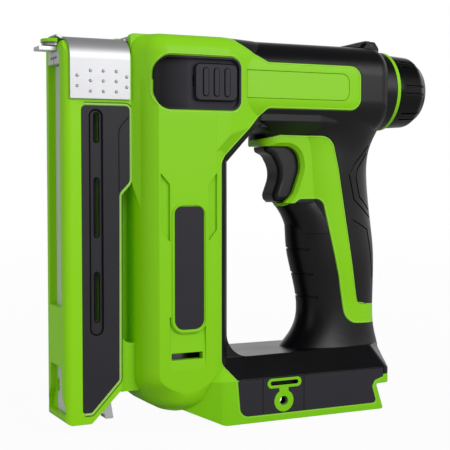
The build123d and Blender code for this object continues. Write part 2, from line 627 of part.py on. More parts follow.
def hammer_set():
    """Sprung hammer with its driver blade, the rack that draws it back and the bumper that stops it."""
    front, back = -64.8, -42.0
    pitch_line = LIFT_MODULE * LIFT_TEETH / 2
    pitch = pi * LIFT_MODULE
    tip, root, spine = pitch_line - 0.9, pitch_line + 1.25, 14.6
    half_tooth = pitch / 4 - BACKLASH / 2
    bar = brick((-69, -41.4), (root, spine), (160.6, 168.6))
    for tooth in range(6):
        x = MOTOR_X + pitch * (0.5 - tooth)
        wide = half_tooth + (root - pitch_line) * tan(PRESSURE)
        narrow = half_tooth - (pitch_line - tip) * tan(PRESSURE)
        shape = Polyline((x - wide, root), (x - narrow, tip), (x + narrow, tip), (x + wide, root), close=True)
        bar += slab_z(make_face(shape), 160.6, 168.6)
    web = brick((-62, -44), (10.4, spine), (168.6, 179))
    body = rod_x(19.4, front, back) - rod_x(15.6, -56, back + 1) - web
    blade = Pos(-84.2, 0, BLADE_Z) * Box(54, 2 * BLADE_HALF_WIDTH, BLADE_THICKNESS)
    pad = rod_x(19.4, BORE_FRONT_X, -65.0) - rod_x(9, -80, -60) - brick((-80, -60), (-7, 7), (199.4, 203.8))
    return {"hammer": body - blade, "drive_rack": bar + web, "driver_blade": blade, "bumper": pad}


def motor_set():
    """Motor with a planetary gear on top; the carrier's shaft ends in the lifter pinion."""
    can = rod_z(MOTOR_RADIUS, 36, 93) - rod_z(16.4, 38, 91) + rod_z(6, 33, 36) + rod_z(10, 93, 95.6)
    can -= rod_z(2.06, 30, 100)
    magnets = []
    for side in (-1, 1):
        arc = rod_z(16.4, 46, 84) - rod_z(14.2, 40, 90)
        magnets.append(arc & Pos(MOTOR_X, side * 13, 65) * Box(50, 20, 50))
    sun = Pos(MOTOR_X, 0) * gear_face(SUN_TEETH, GEAR_MODULE, 0.6, 0.9, BACKLASH)
    rotor = rod_z(2.0, 33.4, 98) + rod_z(13.6, 46, 84) + slab_z(sun, 97.8, 106.2)
    inner_teeth = gear_face(RING_TEETH, GEAR_MODULE, 0.85, 0.55, -BACKLASH)
    cutter = slab_z(Pos(MOTOR_X, 0) * Rot(0, 0, 180 / RING_TEETH) * inner_teeth, 97.4, 120)
    ring = rod_z(GEARCASE_RADIUS, 95.6, 112) - rod_z(6.2, 90, 98) - cutter
    gears = {}
    pins = Part()
    for index in range(3):
        angle = radians(120 * index)
        x, y = MOTOR_X + PLANET_ORBIT * cos(angle), PLANET_ORBIT * sin(angle)
        face = gear_face(PLANET_TEETH, GEAR_MODULE, 0.6, 0.9, BACKLASH) - Circle(2 + RUNNING)
        turn = Rot(0, 0, 120 * index + 180 / PLANET_TEETH)
        gears[f"planet_gear_{index + 1}"] = slab_z(Pos(x, y) * turn * face, 98.4, 105.6)
        pins += rod_z(2.0, 98.2, 106.6, x, y)
    carrier = rod_z(13.6, 106.6, 109.6) + pins + rod_z(SHAFT_RADIUS, 109.6, 168.4)
    lid = rod_z(GEARCASE_RADIUS, 112, 115) - rod_z(SHAFT_RADIUS + RUNNING, 100, 120)
    bearing = rod_z(BEARING_RADIUS, *BEARING_Z) - rod_z(SHAFT_RADIUS + RUNNING, 140, 160)
    teeth = gear_face(LIFT_TEETH, LIFT_MODULE, 1.0, 1.3, BACKLASH, kept=range(2, 9))
    core = Circle(LIFT_MODULE * LIFT_TEETH / 2 - 1.3)
    pinion = slab_z(Pos(MOTOR_X, 0) * (teeth + core), 160.8, 168.4) - rod_z(SHAFT_RADIUS, 150, 170)
    return {
        "motor_can": can, "motor_magnets": Compound(children=magnets), "motor_rotor": rotor, "ring_gear": ring,
        **gears, "planet_carrier": carrier, "gearbox_cover": lid, "output_bearing": bearing,
        "lifter_pinion": pinion}


def trigger_set():
    """Trigger that slides straight back on a plunger into its switch."""
    width = TRIGGER_HALF_WIDTH
    profile = [
        (13.2, 155.2, 0), (13.2, 152.2, 2.4), (18, 150.2, 6), (23.6, 140.4, 14), (18.6, 127, 5),
        (19.6, 122.8, 3), (38, 122.8, 0), (38, 155.2, 0)]
    blade = slab_y(outline(profile), -width, width)
    front = blade.edges().filter_by(lambda edge: abs(edge.center().Y) > width - 0.1 and edge.center().X < 25)
    blade = fillet(front, TRIGGER_ROUND)
    blade += rod_x(2.0, 37, 56, 0, PLUNGER_Z)
    box = brick(SWITCH_X, (-SWITCH_HALF_WIDTH, SWITCH_HALF_WIDTH), SWITCH_Z)
    box -= rod_x(2 + RUNNING, 49, 64, 0, PLUNGER_Z)
    spring = Pos(38.2, 0, PLUNGER_Z) * Rot(0, 90, 0) * coil(3.4, 0.5, 11.6, 4)
    return {"trigger": blade, "trigger_switch": box, "trigger_spring": spring}


def electrics():
    """Control board above the battery slot, battery contacts and leads."""
    top = FOOT_SIDE_TOP + 1.6
    board = brick((4, 62), (-18, 18), (FOOT_SIDE_TOP, top)) + brick((34, 52), (-16, -10), (top, top + 3.6))
    board += rod_z(3, top, top + 4, 14, 10) + rod_z(3, top, top + 4, 22, 10)
    block_z = (7, BAY_ROOF)
    terminal = brick((BAY_FRONT_X, 8), (-17, 17), block_z)
    blades = [brick((8, 21), (y - 0.4, y + 0.4), (10, 16)) for y in (-13, -5, 5, 13)]
    leads = []
    for side in (-1, 1):
        low = top + LEAD_RADIUS
        routes = [
            [(14, 3 * side, low), (-24, 3 * side, low), (-40, 6 * side, low), (-40, 6 * side, 36)],
            [(66, 3 * side, 127), (66, 3 * side, 120), (76, 3 * side, 100), (76, 3 * side, 80),
             (60, 3 * side, 54), (60, 3 * side, top)]]
        for points in routes:
            path = FilletPolyline(*points, radius=3.5)
            leads.append(sweep(Plane(path @ 0, z_dir=path % 0) * Circle(LEAD_RADIUS), path=path))
    return {
        "control_board": board, "terminal_block": terminal,
        "terminal_blades": Compound(children=blades), "wire_leads": Compound(children=leads)}


def side_slider():
    """Dark scoop let into the left side, with a ribbed slider that works a small switch."""
    well = slab_y(outline(WELL), WELL_FRONT_Y, WELL_BACK_Y)
    scoop = [(-90, -40, 0), (0, -40, 0), (0, -26.3, 0), (-44, -26.3, 8), (-60, -23, 10), (-90, -23, 0)]
    well -= slab_z(outline(scoop), 150, 230) & slab_y(shrink(outline(WELL), 1.2), -40, WELL_BACK_Y)
    well -= brick((-42, -18), (-25, -20), (185, 195)) + brick((-41.5, -23), (-40, -20), (187, 193))
    pad = slab_y(outline([(-41, 179.5, 3), (-15, 179.5, 3), (-15, 200, 3), (-41, 200, 3)]), -28.4, -26.5)
    for x in (-34.5, -28, -21.5):
        pad += slab_y(Pos(x, 189.7) * Rot(0, 0, 90) * SlotOverall(15, 2.8), -28.9, -28.4)
    pad += brick((-31, -25), (-26.5, -23.6), (187.4, 192.6))
    switch = brick((-42, -18), (-23.4, WELL_BACK_Y), (185, 195))
    return {"well_liner": well, "mode_slider": pad, "mode_switch": switch}


def top_lever():
    """Flip lever on the back of the barrel, between two ears of a small bracket."""
    x, z = LEVER_PIVOT
    front, back = BRACKET_X
    ear = [
        (front, BRACKET_Z, 0), (back, BRACKET_Z, 0), (back, 215.6, 1), (x + 2.4, z + 2.2, 2),
        (x - 2.4, z + 2.2, 2), (front, 215.6, 1)]
    bracket = slab_y(outline(ear), -BRACKET_HALF_WIDTH, BRACKET_HALF_WIDTH)
    gap = LEVER_HALF_WIDTH + 0.3
    bracket -= brick((70, 100), (-gap, gap), (BRACKET_Z + 0.1, 230)) + rod_y(LEVER_PIN, -20, 20, x, z)
    blade = [(69.7, 216.0, 0.3), (x - 1.8, 216.0, 0), (x, z + 3, 0), (x - 2.3, z + 3, 3), (71, 217.0, 0.6)]
    lever = slab_y(outline(blade), -LEVER_HALF_WIDTH, LEVER_HALF_WIDTH)
    lever += rod_y(3.0, -LEVER_HALF_WIDTH, LEVER_HALF_WIDTH, x, z)
    lever -= rod_y(LEVER_PIN + RUNNING, -20, 20, x, z)
    pin = rod_y(LEVER_PIN, -BRACKET_HALF_WIDTH, BRACKET_HALF_WIDTH, x, z)
    return {"lever_bracket": bracket, "lock_lever": lever, "lever_pin": pin}


# Magazine and nose

MAGAZINE_SIDE = [
    (MAGAZINE_FRONT_X, 5.3, 4), (-97, 5.3, 2), (MAGAZINE_BACK_X, 22.6, 2), (MAGAZINE_BACK_X, 128, 5),
    (CASING_FRONT_X, 134.5, 5), (CASING_FRONT_X, NOSE_TOP, 0), (MAGAZINE_FRONT_X, NOSE_TOP, 4)]
MAGAZINE_PANEL = [
    (-102.1, 11.3, 1.5), (-97, 11.3, 2), (-81.2, 27.9, 2), (-80.7, 129.2, 5), (-74.7, 135.2, 5),
    (-74.7, 176, 2.5), (-102.1, 176, 2.5)]
WINDOWS = [(60.3, 86.7), (105.9, 137.4), (156.6, 171.9)]
WINDOW_X = -93.5
WINDOW_WIDTH = 2.0
TRACK = [(-97.2, 53.5, 3.2), (-90.5, 53.5, 3.2), (-90.5, 173.6, 3.2), (-97.2, 173.6, 3.2)]
NOSE_Z = (198.4, 205.0)
NOSE_HALF_WIDTH = 9.0
TIP_Z = (205.3, 207.4)
TIP_HALF_WIDTH = 5.0


def windows():
    cuts = Part()
    for low, high in WINDOWS:
        slot = Rot(0, 0, 90) * SlotOverall(high - low, WINDOW_WIDTH)
        cuts += slab_y(Pos(WINDOW_X, (low + high) / 2) * slot, -40, 40)
    return cuts


def magazine():
    """Green column that holds the rail, with black side panels, pusher and pull latch."""
    width = MAGAZINE_HALF_WIDTH
    body = slab_y(outline(MAGAZINE_SIDE), -width, width)
    end = [(-width, 0, 0), (width, 0, 0), (width, NOSE_TOP, 10.5), (-width, NOSE_TOP, 10.5)]
    plan = [(MAGAZINE_FRONT_X, -width, 4), (-60, -width, 0), (-60, width, 0), (MAGAZINE_FRONT_X, width, 4)]
    body &= slab_x(outline(end), -120, -60) & slab_z(outline(plan), 0, 220)
    rail_room = RAIL_HALF_WIDTH + 0.3
    body -= brick((RAIL_FRONT_X - 0.3, RAIL_BACK_X + 1), (-rail_room, rail_room), (-1, RAIL_TOP + 0.4))
    body -= brick((-120, RAIL_FRONT_X - 0.2), (-9.75, 9.75), (68, RAIL_TOP + 0.4))
    flare = [
        (-15, 10, 2), (15, 10, 2), (15, 15, 4), (9.75, 22, 4), (9.75, 36, 2), (-9.75, 36, 2), (-9.75, 22, 4),
        (-15, 15, 4)]
    body -= slab_x(outline(flare), -120, RAIL_FRONT_X - 0.2)
    body -= brick((-88, -83), (-12, 12), (44, 199))
    body -= brick((-120, -70), (-NOSE_HALF_WIDTH, NOSE_HALF_WIDTH), NOSE_Z)
    tip_room = TIP_HALF_WIDTH + 0.2
    body -= brick((-120, -84), (-tip_room, tip_room), (NOSE_Z[1], TIP_Z[1] + 0.2))
    body -= brick((-106, -79), (-6.5, 6.5), (207, 220))
    body -= windows() + rod_y(1.5, -8, 8, *LATCH_PIVOT) + brick((-91.6, -79), (-4.3, 4.3), (0, 36))
    panel = inlay(MAGAZINE_PANEL, -width, PLATE)
    for side in (panel, mirror(panel, about=Plane.XZ)):
        body -= side
    panel -= windows() + inlay(TRACK, -width, 0.6)

    rail = brick((RAIL_FRONT_X, RAIL_BACK_X), (-RAIL_HALF_WIDTH, RAIL_HALF_WIDTH), (9, RAIL_TOP))
    rail -= brick((RAIL_FRONT_X + 1.2, 0), (1.2 - RAIL_HALF_WIDTH, RAIL_HALF_WIDTH - 1.2), (10.2, 300))
    rail -= rod_x(2, -120, -100, 0, 183.5) + rod_x(2, -120, -100, 0, 120.4)
    for side in (-1, 1):
        rail -= brick((-120, -107), (side * 7 - 2, side * 7 + 2), (20, 27))
    pusher = brick((-106.5, -94), (-6.8, 6.8), (178, 197.6)) - brick((-120, -103), (-3, 3), (176, 194))
    spring = Pos(-99.5, 0, 10.3) * coil(3.6, 0.6, 167.6, 20)

    x, z = LATCH_PIVOT
    tab = [
        (-84.4, 4.2, 0.5), (-79.9, 4.2, 0.5), (-81.2, 12, 1), (-82, 33, 2), (-89, 33, 2), (-89, 22, 1),
        (-88, 9.6, 0.5), (-92, 8.8, 0.3), (-92, 7.4, 0.3), (-85.4, 7.4, 0.5)]
    latch = slab_y(outline(tab), -3.9, 3.9) - rod_y(1.5 + RUNNING, -10, 10, x, z)
    return {
        "magazine_body": body, **both_sides("magazine_panel", panel), "magazine_rail": rail, "pusher": pusher,
        "pusher_spring": spring, "rail_latch": latch, "latch_pin": rod_y(1.5, -8, 8, x, z)}


def nose():
    """Steel driver guide, contact tip, hinged sheet metal cover and working light."""
    guide = brick((MAGAZINE_FRONT_X, CASING_FRONT_X), (-NOSE_HALF_WIDTH, NOSE_HALF_WIDTH), NOSE_Z)
    guide -= Pos(-95, 0, BLADE_Z) * Box(50, 2 * BLADE_HALF_WIDTH + 0.4, BLADE_THICKNESS + 0.1)
    guide -= brick((-107.9, -92), (-7, 7), (190, BLADE_Z)) + brick((-120, -109.8), (-0.7, 0.7), (190, BLADE_Z))
    tip = brick((TIP_X, -94), (-TIP_HALF_WIDTH, TIP_HALF_WIDTH), TIP_Z)
    spring = Pos(-93.9, 0, sum(TIP_Z) / 2) * Rot(0, 90, 0) * coil(0.75, 0.22, 9.8, 8)

    side, top = MAGAZINE_HALF_WIDTH + 0.2 + COVER_SHEET, NOSE_TOP + 0.3 + COVER_SHEET
    outside = outline([(-side, 179.4, 0), (side, 179.4, 0), (side, top, COVER_BEND), (-side, top, COVER_BEND)])
    inner, under = side - COVER_SHEET, top - COVER_SHEET
    bend = COVER_BEND - COVER_SHEET
    inside = outline([(-inner, 170, 0), (inner, 170, 0), (inner, under, bend), (-inner, under, bend)])
    cover = slab_x(outside - inside, -108.5, COVER_BACK_X)
    lip = [
        (-108.3, under, 0), (-108.3, top, 0), (-111.8, top + 1.4, 0.5), (-112.4, top + 0.4, 0.4),
        (-109.8, under + 0.4, 2)]
    cover += slab_y(outline(lip), -7, 7)
    cover += brick((COVER_BACK_X - 1, COVER_HINGE[0]), (-KNUCKLE_HALF_WIDTH, KNUCKLE_HALF_WIDTH), (under, top))
    cover += rod_y(KNUCKLE, -KNUCKLE_HALF_WIDTH, KNUCKLE_HALF_WIDTH, *COVER_HINGE)
    cover -= rod_y(HINGE_PIN + RUNNING, -20, 20, *COVER_HINGE)

    bow = outline([(-118.2, -7, 6.2), (MAGAZINE_FRONT_X, -7, 0), (MAGAZINE_FRONT_X, 7, 0), (-118.2, 7, 6.2)])
    lens = slab_z(shrink(bow, 0.4), 207.9, 209.8)
    return {
        "nose_block": guide, "contact_tip": tip, "tip_spring": spring, "jam_cover": cover,
        "cover_hinge_pin": rod_y(HINGE_PIN, -15, 15, *COVER_HINGE), "led_hood": slab_z(bow, 209.8, 211.6),
        "led_lens": lens}


nodes = {
    **casing_halves(), **battery_foot(), **casing_trim(), **power_adjuster(), **hammer_set(), **motor_set(),
    **trigger_set(), **electrics(), **side_slider(), **top_lever(), **magazine(), **nose()}

os.makedirs("parts", exist_ok=True)
for name, piece in nodes.items():
    export_step(piece, f"parts/{name}.step")
    print(name, len(piece.solids()), round(piece.volume))
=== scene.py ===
import math

import bmesh
import bpy
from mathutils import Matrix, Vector


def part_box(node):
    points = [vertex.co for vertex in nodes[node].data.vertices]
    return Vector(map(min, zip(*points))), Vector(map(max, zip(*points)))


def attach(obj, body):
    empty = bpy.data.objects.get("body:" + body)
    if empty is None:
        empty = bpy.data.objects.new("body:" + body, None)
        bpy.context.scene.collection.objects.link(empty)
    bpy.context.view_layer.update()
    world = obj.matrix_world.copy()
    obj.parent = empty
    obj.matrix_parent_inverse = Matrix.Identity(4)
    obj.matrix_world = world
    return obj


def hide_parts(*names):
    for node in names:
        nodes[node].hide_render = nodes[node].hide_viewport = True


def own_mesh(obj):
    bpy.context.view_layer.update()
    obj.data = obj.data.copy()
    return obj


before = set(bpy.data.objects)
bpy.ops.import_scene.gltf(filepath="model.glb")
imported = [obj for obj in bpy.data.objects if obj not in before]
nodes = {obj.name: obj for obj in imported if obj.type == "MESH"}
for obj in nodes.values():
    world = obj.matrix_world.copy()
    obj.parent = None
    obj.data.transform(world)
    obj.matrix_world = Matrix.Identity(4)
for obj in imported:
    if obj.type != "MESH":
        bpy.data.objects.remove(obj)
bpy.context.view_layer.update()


# Casing halves: two green shells moulded in glass-filled nylon that meet on the middle plane.
# The mould is spark eroded, so the skin has a fine even grain, and every edge has a small radius.

def add_node(tree, kind, settings, inputs, output=0):
    """Adds a node to a tree: its settings first, then a value or a link for each input that is named."""
    made = tree.nodes.new(kind)
    for name, value in settings.items():
        setattr(made, name, value)
    for name, value in inputs.items():
        if isinstance(value, bpy.types.NodeSocket):
            tree.links.new(value, made.inputs[name])
        else:
            made.inputs[name].default_value = value
    return made.outputs[output]


class Field:
    """A socket of a finish. Sums and products of fields add the Math nodes for them."""

    def __init__(self, finish, socket):
        self.finish = finish
        self.socket = socket

    def math(self, operation, *values):
        return self.finish.node("ShaderNodeMath", {"operation": operation}, dict(enumerate(values)))

    def __add__(self, other):
        return self.math("ADD", self, other)

    __radd__ = __add__

    def __sub__(self, other):
        return self.math("SUBTRACT", self, other)

    def __rsub__(self, other):
        return self.math("SUBTRACT", other, self)

    def __mul__(self, other):
        return self.math("MULTIPLY", self, other)

    __rmul__ = __mul__

    def near(self, middle, reach):
        """1 where the field lies within reach of a middle value, 0 elsewhere."""
        return self.math("COMPARE", self, middle, reach)

    def clamped(self):
        return self.finish.node("ShaderNodeClamp", {}, {"Value": self})


class Finish:
    """One surface finish: a Principled shader with plain values and fields on its sockets."""

    def __init__(self, name, plain):
        self.material = bpy.data.materials.new(name)
        self.material.use_nodes = True
        self.tree = self.material.node_tree
        self.shader = self.tree.nodes["Principled BSDF"]
        for socket, value in plain.items():
            self.shader.inputs[socket].default_value = value

    def node(self, kind, settings, inputs, output=0):
        given = {name: value.socket if isinstance(value, Field) else value for name, value in inputs.items()}
        return Field(self, add_node(self.tree, kind, settings, given, output))

    def place(self):
        return self.node("ShaderNodeTexCoord", {}, {}, "Object")

    def noise(self, scale, detail, stretch=(1, 1, 1)):
        spread = self.node("ShaderNodeVectorMath", {"operation": "MULTIPLY"}, {0: self.place(), 1: stretch})
        return self.node("ShaderNodeTexNoise", {}, {"Vector": spread, "Scale": scale, "Detail": detail})

    def mix(self, factor, first, second):
        """Two colours mixed. The colour sockets of a Mix node share their names, so they go by number."""
        return self.node("ShaderNodeMix", {"data_type": "RGBA"}, {0: factor, 6: first, 7: second}, 2)

    def paint(self, socket, field):
        self.tree.links.new(field.socket, self.shader.inputs[socket])


def linear(red, green, blue):
    """A colour written in 0 to 255 screen values, taken off the sRGB curve as the shader wants it."""
    parts = [value / 255 for value in (red, green, blue)]
    return (*[p / 12.92 if p < 0.04045 else ((p + 0.055) / 1.055) ** 2.4 for p in parts], 1)


def rounded_normal(finish, radius, height, depth):
    """Edges that look rounded by a radius, with a fine relief of a given depth over them."""
    edge = finish.node("ShaderNodeBevel", {"samples": 6}, {"Radius": radius})
    relief = finish.node("ShaderNodeBump", {}, {"Distance": depth, "Height": height, "Normal": edge})
    finish.paint("Normal", relief)
    return edge


def edge_mask(finish, edge):
    """How far the rounded normal leans from the plain one: above 0 only along edges."""
    steepness = 5
    plain = finish.node("ShaderNodeNewGeometry", {}, {}, "Normal")
    facing = finish.node("ShaderNodeVectorMath", {"operation": "DOT_PRODUCT"}, {0: edge, 1: plain}, "Value")
    return ((1 - facing) * steepness).clamped()


def moulded(name, colour, pale, roughness, grain=5200, depth=2.2e-5, radius=0.0005, gloss=0.5, shade=None):
    """Moulded plastic: spark grain, slow changes of colour and gloss, paler rubbed edges.

    A shade is a function that gives the share of painted shade, near black, at a place, from its X, Y and Z."""
    finish = Finish(name, {"IOR": 1.48, "Specular IOR Level": gloss})
    fine = finish.noise(grain, detail=1.5)
    clouds = finish.noise(38, detail=3)
    edge = rounded_normal(finish, radius, fine, depth)
    rubbed = edge_mask(finish, edge) * finish.noise(210, detail=2)
    cloud_share, rubbed_share = 0.3, 0.55
    tone = finish.mix(clouds * cloud_share + rubbed * rubbed_share, colour, pale)
    if shade:
        split = [finish.node("ShaderNodeSeparateXYZ", {}, {0: finish.place()}, axis) for axis in "XYZ"]
        unlit = linear(8, 8, 9)
        tone = finish.mix(shade(*split), tone, unlit)
    finish.paint("Base Color", tone)
    cloud_swing, grain_swing = 0.12, 0.08
    finish.paint("Roughness", roughness + (clouds - 0.5) * cloud_swing + (fine - 0.5) * grain_swing)
    return finish.material


def dress(material, *names):
    """Gives CAD nodes a finish in place of the one they come with."""
    for name in names:
        slots = nodes[name].data.materials
        slots.clear()
        slots.append(material)


green_gloss = 0.25
green_plastic = moulded("green_plastic", linear(130, 203, 2), linear(138, 208, 12), 0.4, gloss=green_gloss)
dress(green_plastic, "left_housing", "right_housing")


# Battery foot: the green base that the tool stands on, with the bay that a battery slides into.
# It is moulded in the same nylon as the shells, and a frame on each side takes a belt hook.

def hook_slot_shade(x, y, z):
    """1 inside the slot of the belt hook frame, which is painted near black as shade."""
    slot_x, half_length = 0.0125, 0.0092
    slot_z, half_width = 0.0212, 0.0013
    slot_mouth = 0.0326
    return x.near(slot_x, half_length) * y.near(0, slot_mouth) * z.near(slot_z, half_width)


# Foot plastic, with the slot of each hook frame painted near black as shade.
foot_plastic = moulded("foot_plastic", linear(122, 197, 0), linear(130, 202, 6), 0.4, gloss=green_gloss,
                       shade=hook_slot_shade)
dress(foot_plastic, "battery_foot")


# Label lip: a raised lip on each shell round the plate that is let into the column.
# It is moulded in one with the shell, in the same green.

class Former:
    """A Geometry Nodes tree in the making. It works on a path of points, and its sizes are named inputs."""

    def __init__(self, name):
        self.name = name
        self.tree = bpy.data.node_groups.new(name, "GeometryNodeTree")
        self.tree.interface.new_socket("Path", in_out="INPUT", socket_type="NodeSocketGeometry")
        self.tree.interface.new_socket("Piece", in_out="OUTPUT", socket_type="NodeSocketGeometry")
        self.given = self.tree.nodes.new("NodeGroupInput")
        self.sizes = {}

    def path(self):
        return self.given.outputs["Path"]

    def size(self, name, value):
        socket = self.tree.interface.new_socket(name, in_out="INPUT", socket_type="NodeSocketFloat")
        self.sizes[socket.identifier] = value
        return self.given.outputs[name]

    def node(self, kind, settings, inputs, output=0):
        return add_node(self.tree, kind, settings, inputs, output)

    def build(self, shape, points, edges, material, body):
        """Runs the tree on the path and hangs the plain mesh that it gives on a body."""
        whole = self.node("GeometryNodeRealizeInstances", {}, {"Geometry": shape})
        dressed = self.node("GeometryNodeSetMaterial", {}, {"Geometry": whole, "Material": material})
        self.tree.links.new(dressed, self.tree.nodes.new("NodeGroupOutput").inputs["Piece"])
        path = bpy.data.meshes.new(self.name + "_path")
        path.from_pydata(points, edges, [])
        piece = bpy.data.objects.new(self.name, path)
        bpy.context.collection.objects.link(piece)
        modifier = piece.modifiers.new("form", "NODES")
        modifier.node_group = self.tree
        for identifier, value in self.sizes.items():
            modifier[identifier] = value
        seen = piece.evaluated_get(bpy.context.evaluated_depsgraph_get())
        plain = bpy.data.meshes.new_from_object(seen)
        piece.modifiers.clear()
        piece.data = plain
        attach(piece, body)


def rounded(corners):
    """Points in metres along a line of (X, Z, rounding) corners in millimetres, its round corners as arcs."""
    arc_steps = 8
    line = [Vector(corners[0][:2])]
    for before, here, after in zip(corners, corners[1:], corners[2:]):
        corner, radius = Vector(here[:2]), here[2]
        back = (Vector(before[:2]) - corner).normalized()
        ahead = (Vector(after[:2]) - corner).normalized()
        half = back.angle(ahead) / 2
        inward = (back + ahead).normalized()
        across = (ahead - back).normalized()
        centre = corner + inward * radius / math.sin(half)
        for step in range(arc_steps + 1):
            lean = (2 * step / arc_steps - 1) * (math.pi / 2 - half)
            line.append(centre + radius * (across * math.sin(lean) - inward * math.cos(lean)))
    line.append(Vector(corners[-1][:2]))
    return [point / 1000 for point in line]


def rounded_frame(left, right, low, high, rounding, right_rounding=None):
    """A closed line round a rectangle, given in millimetres, from the middle of its lower side."""
    ends = ((left + right) / 2, low, 0)
    far = rounding if right_rounding is None else right_rounding
    left_side = [(left, low, rounding), (left, high, rounding)]
    right_side = [(right, high, far), (right, low, far)]
    return rounded([ends, *left_side, *right_side, ends])


def surface_line(name, lines, targets, radius, material, body, sides=(-1, 1), sunk=0.0):
    """A round line laid on the sides of CAD pieces: each point runs in along Y until it meets them.

    A line that ends where it starts is closed. Sunk is how deep its middle lies under the surface."""
    far = 0.06
    points, edges = [], []
    for side in sides:
        for line in lines:
            closed = line[0] == line[-1]
            places = line[:-1] if closed else line
            first = len(points)
            points += [(place.x, side * far, place.y) for place in places]
            last = len(points) - 1
            edges += [(index, index + 1) for index in range(first, last)]
            if closed:
                edges.append((last, first))
    former = Former(name)
    pieces = former.node("GeometryNodeJoinGeometry", {}, {})
    for target in targets:
        shape = former.node("GeometryNodeObjectInfo", {}, {"Object": nodes[target]}, "Geometry")
        former.tree.links.new(shape, pieces.node.inputs["Geometry"])
    curve = former.node("GeometryNodeMeshToCurve", {}, {"Mesh": former.path()})
    even = former.node("GeometryNodeResampleCurve", {"mode": "LENGTH"}, {
        "Curve": curve, "Length": former.size("Step", 0.0008)})
    place = former.node("GeometryNodeInputPosition", {}, {})
    inward = former.node("ShaderNodeVectorMath", {"operation": "MULTIPLY"}, {0: place, 1: (0, -1 / far, 0)})
    landed = former.node("GeometryNodeRaycast", {}, {
        "Target Geometry": pieces, "Source Position": place, "Ray Direction": inward, "Ray Length": far},
        "Hit Position")
    missed = former.node("FunctionNodeBooleanMath", {"operation": "NOT"}, {0: landed.node.outputs["Is Hit"]})
    kept = former.node("GeometryNodeDeleteGeometry", {"domain": "POINT"}, {
        "Geometry": even, "Selection": missed})
    sink = former.node("ShaderNodeVectorMath", {"operation": "SCALE"}, {
        0: inward, "Scale": former.size("Sunk", sunk)})
    laid = former.node("GeometryNodeSetPosition", {}, {
        "Geometry": kept, "Position": landed, "Offset": sink})
    ring = former.node("GeometryNodeCurvePrimitiveCircle", {}, {
        "Resolution": 10, "Radius": former.size("Radius", radius)})
    tube = former.node("GeometryNodeCurveToMesh", {}, {
        "Curve": laid, "Profile Curve": ring, "Fill Caps": True})
    former.build(tube, points, edges, material, body)


label_lip = rounded_frame(left=-55.1, right=-35.4, low=53.7, high=123.1, rounding=6.2)
surface_line("label_lip", [label_lip], ("left_housing", "right_housing"), 0.00065, green_plastic, "casing")


# Soft grip: black rubber moulded over the shells on the barrel, the handle and the foot.
# It is duller and finer grained than the plastic, and its grooves let the hand grip.

soft_grip = moulded("soft_grip", linear(5, 5, 8), linear(13, 12, 17), 0.3, grain=7000, depth=1.6e-5,
                    radius=0.0006, gloss=0.35)
dress(soft_grip, "left_overmould", "right_overmould")


# Rims: where green meets black the shell ends in a thin raised rim that the rubber is moulded up to.
# They are part of the shells, of the same plastic, and their paler green is a painted highlight.

rim_highlight_green = moulded("rim_highlight_green", linear(150, 214, 52), linear(176, 226, 110), 0.34)
barrel_rim = [
    (-9, 210.0, 0), (6.2, 201.9, 4), (67.3, 201.9, 6.4), (67.3, 177.3, 6.4), (6.2, 177.3, 4),
    (-25.5, 146.4, 5), (-25.5, 35.2, 5), (-17.6, 24.7, 0)]
band_rim = [
    (13, 159.7, 0), (20, 161.4, 4), (52.6, 161.0, 8.4), (57.0, 143, 0), (71.4, 62.0, 4), (83, 60.0, 0)]
lip_rim = [
    (83, 49.2, 0), (63.6, 50.6, 9.4), (59.1, 78, 40), (49.6, 118, 0), (48.0, 125.1, 5.4), (32.8, 125.1, 4),
    (27, 120.9, 3), (25, 120.4, 0)]
shell_rims = [rounded(line) for line in (barrel_rim, band_rim, lip_rim)]
shell_sides = ("left_housing", "right_housing", "left_overmould", "right_overmould")
surface_line("shell_rims", shell_rims, shell_sides, 0.00032, rim_highlight_green, "casing")
foot_rim = [
    (-17.9, 23.4, 0), (-16.0, 3.4, 6.0), (75.4, 3.4, 2), (72.5, 14, 2), (74.0, 16.9, 2), (79.6, 18.6, 0)]
foot_sides = ("battery_foot", "left_foot_panel", "right_foot_panel")
surface_line("foot_rims", [rounded(foot_rim)], foot_sides, 0.00036, rim_highlight_green, "casing", sunk=0.00032)
well_rim = rounded_frame(left=-66.4, right=-12, low=173.3, high=204.4, rounding=11, right_rounding=7)
well_sides = ("left_housing", "well_liner")
surface_line("well_rim", [well_rim], well_sides, 0.00035, rim_highlight_green, "casing", sides=(-1,))


# Trim let into the casing: plain plates on column, barrel and foot, hook inserts and screws.
# The plates are snapped in flush; the steel inserts take a belt hook, the screws close the shells.

dark_plastic = moulded("dark_plastic", linear(40, 39, 45), linear(52, 51, 57), 0.42, grain=6000,
                       depth=1.2e-5, radius=0.0004, gloss=0.2)
dress(dark_plastic, "label_plates", "left_foot_panel", "right_foot_panel")
badge_green = moulded("badge_green", linear(132, 203, 4), linear(142, 210, 28), 0.38, grain=6500,
                      depth=1.2e-5, radius=0.0003, gloss=0.35)
dress(badge_green, "badge_panels")


def steel(name, colour, worn, roughness, brush=(1, 1, 1), depth=4e-6, metallic=1.0):
    """Bare metal with fine brush lines, drawn out along one way, and brighter edges."""
    finish = Finish(name, {"Metallic": metallic})
    lines = finish.noise(2600, detail=4, stretch=brush)
    clouds = finish.noise(90, detail=3)
    edge_radius = 0.0003
    edge = rounded_normal(finish, edge_radius, lines, depth)
    cloud_share, edge_share = 0.5, 0.4
    tone = finish.mix(clouds * cloud_share + edge_mask(finish, edge) * edge_share, colour, worn)
    finish.paint("Base Color", tone)
    cloud_swing, line_swing = 0.1, 0.12
    finish.paint("Roughness", roughness + (clouds - 0.5) * cloud_swing + (lines - 0.5) * line_swing)
    return finish.material


screw_steel = steel("screw_steel", linear(92, 93, 97), linear(150, 151, 154), 0.38)
dress(screw_steel, "housing_screws", "hook_inserts", "latch_pin", "cover_hinge_pin")


# Power adjuster: a green ring and a fluted black dial at the back of the barrel.
# The dial is pressed on a screw that moves the seat of the power spring.

